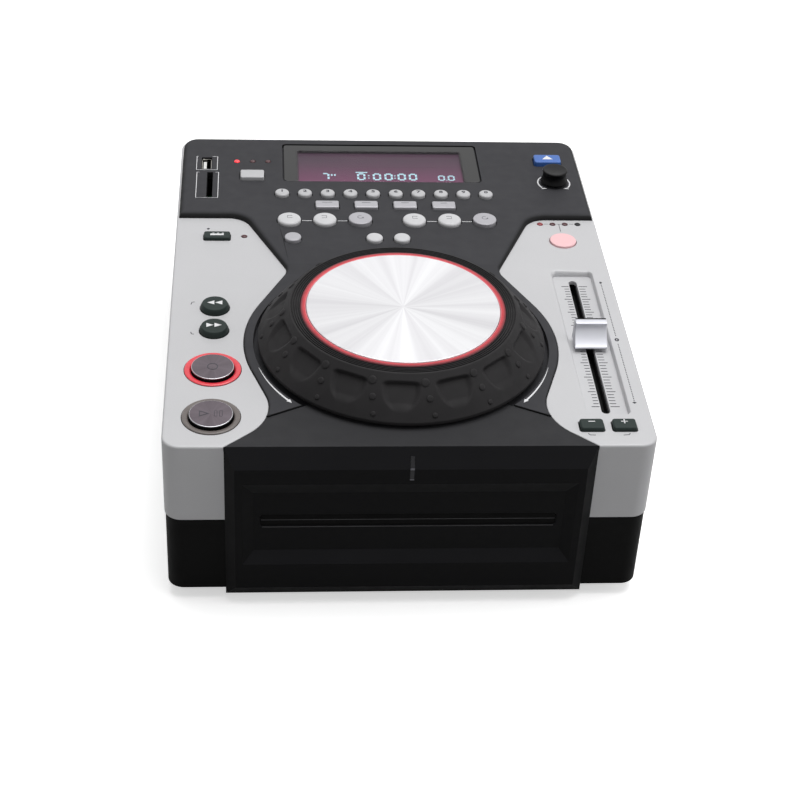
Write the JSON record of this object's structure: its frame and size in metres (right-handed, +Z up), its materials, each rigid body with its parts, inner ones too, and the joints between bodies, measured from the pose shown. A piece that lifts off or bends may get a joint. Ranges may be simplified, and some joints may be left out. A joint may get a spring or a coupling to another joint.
{
  "type": "tabletop dj cd player",
  "caption": "Tabletop disc player with slot loader, jog wheel, raised key deck, display, pitch slider and lit cue and play buttons; sprung keys and turning wheel.",
  "frame": {"origin": "on the table under the middle of the machine's overall box", "axes": "+X to the user's right, +Y from the front bezel to the back, +Z up"},
  "size_m": [0.218, 0.2886, 0.109],
  "materials": {
    "case_black": "satin moulded black",
    "case_silver": "satin silver paint",
    "deck_black": "matt black",
    "wheel_rubber": "soft-touch dark grey",
    "platter_white": "spun pearl white",
    "red_ring": "translucent red",
    "lamp_red": "translucent red",
    "smoked_window": "smoked",
    "display_glass": "dark display glass",
    "key_pale": "pale silver",
    "key_silver": "silver",
    "key_dark": "dark green-black",
    "key_blue": "blue",
    "button_metal": "spun",
    "button_pink": "lit translucent",
    "knob_black": "black",
    "cap_silver": "silver",
    "foot_rubber": "black",
    "screw_steel": "plated",
    "shaft_steel": "turned",
    "bearing_brass": "turned",
    "sheet_steel": "plated sheet",
    "sled_metal": "die cast",
    "jack_metal": "plated",
    "circuit_board": "green board"
  },
  "bodies": {
    "base": {"bottom_case": "case_black", "top_case": "case_silver", "console_panel": "deck_black", "front_fascia": "case_black", "case_screws": "screw_steel", "rubber_feet": "foot_rubber", "display_window": "smoked_window", "display_module": "display_glass", "jog_bearing": "bearing_brass", "fader_track": "sheet_steel", "light_pipes": "lamp_red", "control_board": "circuit_board", "main_board": "circuit_board", "power_supply": "sheet_steel", "loader_frame": "sheet_steel", "rear_jacks": "jack_metal"},
    "jog": {"jog_rim": "wheel_rubber", "jog_ring": "red_ring", "jog_platter": "platter_white", "jog_hub": "shaft_steel"},
    "plunger": {"knob_plunger": "shaft_steel"},
    "knob": {"select_knob": "knob_black"},
    "fader": {"fader_cap": "cap_silver"},
    "roller": {"feed_roller": "foot_rubber"},
    "spindle": {"spindle_hub": "case_black"},
    "sled": {"laser_sled": "sled_metal"},
    "rocker": {"power_rocker": "knob_black"},
    "key_1_body": {"key_1": "key_pale"},
    "key_2_body": {"key_2": "key_pale"},
    "key_3_body": {"key_3": "key_pale"},
    "key_4_body": {"key_4": "key_pale"},
    "key_5_body": {"key_5": "key_pale"},
    "key_6_body": {"key_6": "key_pale"},
    "key_7_body": {"key_7": "key_pale"},
    "key_8_body": {"key_8": "key_pale"},
    "key_9_body": {"key_9": "key_pale"},
    "key_0_body": {"key_0": "key_pale"},
    "function_key_1_body": {"function_key_1": "key_silver"},
    "function_key_2_body": {"function_key_2": "key_silver"},
    "function_key_3_body": {"function_key_3": "key_silver"},
    "function_key_4_body": {"function_key_4": "key_silver"},
    "loop_key_1_body": {"loop_key_1": "key_pale"},
    "loop_key_2_body": {"loop_key_2": "key_pale"},
    "loop_key_3_body": {"loop_key_3": "key_pale"},
    "loop_key_4_body": {"loop_key_4": "key_pale"},
    "loop_key_5_body": {"loop_key_5": "key_pale"},
    "loop_key_6_body": {"loop_key_6": "key_pale"},
    "tap_key_body": {"tap_key": "key_pale"},
    "round_key_1_body": {"round_key_1": "key_pale"},
    "round_key_2_body": {"round_key_2": "key_pale"},
    "source_key_body": {"source_key": "key_silver"},
    "eject_key_body": {"eject_key": "key_blue"},
    "jog_mode_key_body": {"jog_mode_key": "key_dark"},
    "search_back_key_body": {"search_back_key": "key_dark"},
    "search_fwd_key_body": {"search_fwd_key": "key_dark"},
    "cue_button_body": {"cue_button": "button_metal"},
    "play_button_body": {"play_button": "button_metal"},
    "pitch_button_body": {"pitch_button": "button_pink"},
    "pitch_minus_key_body": {"pitch_minus_key": "key_dark"},
    "pitch_plus_key_body": {"pitch_plus_key": "key_dark"}
  },
  "joints": [
    {"name": "jog_spin", "type": "hinge", "parent": "base", "child": "jog", "pos_m": [0, -0.06055, 0.1], "axis": [0, 0, 1], "continuous": true},
    {"name": "knob_push", "type": "slide", "parent": "base", "child": "plunger", "axis": [0, 0, -1], "range_m": [0, 0.0008], "stiffness_N_per_m": 600, "springref_m": -0.0003},
    {"name": "knob_turn", "type": "hinge", "parent": "plunger", "child": "knob", "pos_m": [0.0918, 0.08655, 0.0933], "axis": [0, 0, 1], "continuous": true},
    {"name": "fader_slide", "type": "slide", "parent": "base", "child": "fader", "axis": [0, 1, 0], "range_m": [-0.048, 0.052]},
    {"name": "roller_spin", "type": "hinge", "parent": "base", "child": "roller", "pos_m": [0, -0.12005, 0.0411], "axis": [1, 0, 0], "continuous": true},
    {"name": "spindle_spin", "type": "hinge", "parent": "base", "child": "spindle", "pos_m": [0, -0.06005, 0.043], "axis": [0, 0, 1], "continuous": true},
    {"name": "sled_slide", "type": "slide", "parent": "base", "child": "sled", "axis": [0, 1, 0], "range_m": [0, 0.034]},
    {"name": "rocker_tip", "type": "hinge", "parent": "base", "child": "rocker", "pos_m": [-0.052, 0.13295, 0.027], "axis": [1, 0, 0], "range_deg": [-16, 0]},
    {"name": "key_1_press", "type": "slide", "parent": "base", "child": "key_1_body", "axis": [0, 0, -1], "range_m": [0, 0.0008], "stiffness_N_per_m": 400, "springref_m": -0.0003},
    {"name": "key_2_press", "type": "slide", "parent": "base", "child": "key_2_body", "axis": [0, 0, -1], "range_m": [0, 0.0008], "stiffness_N_per_m": 400, "springref_m": -0.0003},
    {"name": "key_3_press", "type": "slide", "parent": "base", "child": "key_3_body", "axis": [0, 0, -1], "range_m": [0, 0.0008], "stiffness_N_per_m": 400, "springref_m": -0.0003},
    {"name": "key_4_press", "type": "slide", "parent": "base", "child": "key_4_body", "axis": [0, 0, -1], "range_m": [0, 0.0008], "stiffness_N_per_m": 400, "springref_m": -0.0003},
    {"name": "key_5_press", "type": "slide", "parent": "base", "child": "key_5_body", "axis": [0, 0, -1], "range_m": [0, 0.0008], "stiffness_N_per_m": 400, "springref_m": -0.0003},
    {"name": "key_6_press", "type": "slide", "parent": "base", "child": "key_6_body", "axis": [0, 0, -1], "range_m": [0, 0.0008], "stiffness_N_per_m": 400, "springref_m": -0.0003},
    {"name": "key_7_press", "type": "slide", "parent": "base", "child": "key_7_body", "axis": [0, 0, -1], "range_m": [0, 0.0008], "stiffness_N_per_m": 400, "springref_m": -0.0003},
    {"name": "key_8_press", "type": "slide", "parent": "base", "child": "key_8_body", "axis": [0, 0, -1], "range_m": [0, 0.0008], "stiffness_N_per_m": 400, "springref_m": -0.0003},
    {"name": "key_9_press", "type": "slide", "parent": "base", "child": "key_9_body", "axis": [0, 0, -1], "range_m": [0, 0.0008], "stiffness_N_per_m": 400, "springref_m": -0.0003},
    {"name": "key_0_press", "type": "slide", "parent": "base", "child": "key_0_body", "axis": [0, 0, -1], "range_m": [0, 0.0008], "stiffness_N_per_m": 400, "springref_m": -0.0003},
    {"name": "function_key_1_press", "type": "slide", "parent": "base", "child": "function_key_1_body", "axis": [0, 0, -1], "range_m": [0, 0.0008], "stiffness_N_per_m": 400, "springref_m": -0.0003},
    {"name": "function_key_2_press", "type": "slide", "parent": "base", "child": "function_key_2_body", "axis": [0, 0, -1], "range_m": [0, 0.0008], "stiffness_N_per_m": 400, "springref_m": -0.0003},
    {"name": "function_key_3_press", "type": "slide", "parent": "base", "child": "function_key_3_body", "axis": [0, 0, -1], "range_m": [0, 0.0008], "stiffness_N_per_m": 400, "springref_m": -0.0003},
    {"name": "function_key_4_press", "type": "slide", "parent": "base", "child": "function_key_4_body", "axis": [0, 0, -1], "range_m": [0, 0.0008], "stiffness_N_per_m": 400, "springref_m": -0.0003},
    {"name": "loop_key_1_press", "type": "slide", "parent": "base", "child": "loop_key_1_body", "axis": [0, 0, -1], "range_m": [0, 0.0008], "stiffness_N_per_m": 400, "springref_m": -0.0003},
    {"name": "loop_key_2_press", "type": "slide", "parent": "base", "child": "loop_key_2_body", "axis": [0, 0, -1], "range_m": [0, 0.0008], "stiffness_N_per_m": 400, "springref_m": -0.0003},
    {"name": "loop_key_3_press", "type": "slide", "parent": "base", "child": "loop_key_3_body", "axis": [0, 0, -1], "range_m": [0, 0.0008], "stiffness_N_per_m": 400, "springref_m": -0.0003},
    {"name": "loop_key_4_press", "type": "slide", "parent": "base", "child": "loop_key_4_body", "axis": [0, 0, -1], "range_m": [0, 0.0008], "stiffness_N_per_m": 400, "springref_m": -0.0003},
    {"name": "loop_key_5_press", "type": "slide", "parent": "base", "child": "loop_key_5_body", "axis": [0, 0, -1], "range_m": [0, 0.0008], "stiffness_N_per_m": 400, "springref_m": -0.0003},
    {"name": "loop_key_6_press", "type": "slide", "parent": "base", "child": "loop_key_6_body", "axis": [0, 0, -1], "range_m": [0, 0.0008], "stiffness_N_per_m": 400, "springref_m": -0.0003},
    {"name": "tap_key_press", "type": "slide", "parent": "base", "child": "tap_key_body", "axis": [0, 0, -1], "range_m": [0, 0.0008], "stiffness_N_per_m": 400, "springref_m": -0.0003},
    {"name": "round_key_1_press", "type": "slide", "parent": "base", "child": "round_key_1_body", "axis": [0, 0, -1], "range_m": [0, 0.0008], "stiffness_N_per_m": 400, "springref_m": -0.0003},
    {"name": "round_key_2_press", "type": "slide", "parent": "base", "child": "round_key_2_body", "axis": [0, 0, -1], "range_m": [0, 0.0008], "stiffness_N_per_m": 400, "springref_m": -0.0003},
    {"name": "source_key_press", "type": "slide", "parent": "base", "child": "source_key_body", "axis": [0, 0, -1], "range_m": [0, 0.0008], "stiffness_N_per_m": 400, "springref_m": -0.0003},
    {"name": "eject_key_press", "type": "slide", "parent": "base", "child": "eject_key_body", "axis": [0, 0, -1], "range_m": [0, 0.0008], "stiffness_N_per_m": 400, "springref_m": -0.0003},
    {"name": "jog_mode_key_press", "type": "slide", "parent": "base", "child": "jog_mode_key_body", "axis": [0, 0, -1], "range_m": [0, 0.0008], "stiffness_N_per_m": 400, "springref_m": -0.0003},
    {"name": "search_back_key_press", "type": "slide", "parent": "base", "child": "search_back_key_body", "axis": [0, 0, -1], "range_m": [0, 0.0008], "stiffness_N_per_m": 400, "springref_m": -0.0003},
    {"name": "search_fwd_key_press", "type": "slide", "parent": "base", "child": "search_fwd_key_body", "axis": [0, 0, -1], "range_m": [0, 0.0008], "stiffness_N_per_m": 400, "springref_m": -0.0003},
    {"name": "cue_button_press", "type": "slide", "parent": "base", "child": "cue_button_body", "axis": [0, 0, -1], "range_m": [0, 0.0008], "stiffness_N_per_m": 400, "springref_m": -0.0003},
    {"name": "play_button_press", "type": "slide", "parent": "base", "child": "play_button_body", "axis": [0, 0, -1], "range_m": [0, 0.0008], "stiffness_N_per_m": 400, "springref_m": -0.0003},
    {"name": "pitch_button_press", "type": "slide", "parent": "base", "child": "pitch_button_body", "axis": [0, 0, -1], "range_m": [0, 0.0008], "stiffness_N_per_m": 400, "springref_m": -0.0003},
    {"name": "pitch_minus_key_press", "type": "slide", "parent": "base", "child": "pitch_minus_key_body", "axis": [0, 0, -1], "range_m": [0, 0.0008], "stiffness_N_per_m": 400, "springref_m": -0.0003},
    {"name": "pitch_plus_key_press", "type": "slide", "parent": "base", "child": "pitch_plus_key_body", "axis": [0, 0, -1], "range_m": [0, 0.0008], "stiffness_N_per_m": 400, "springref_m": -0.0003}
  ]
}
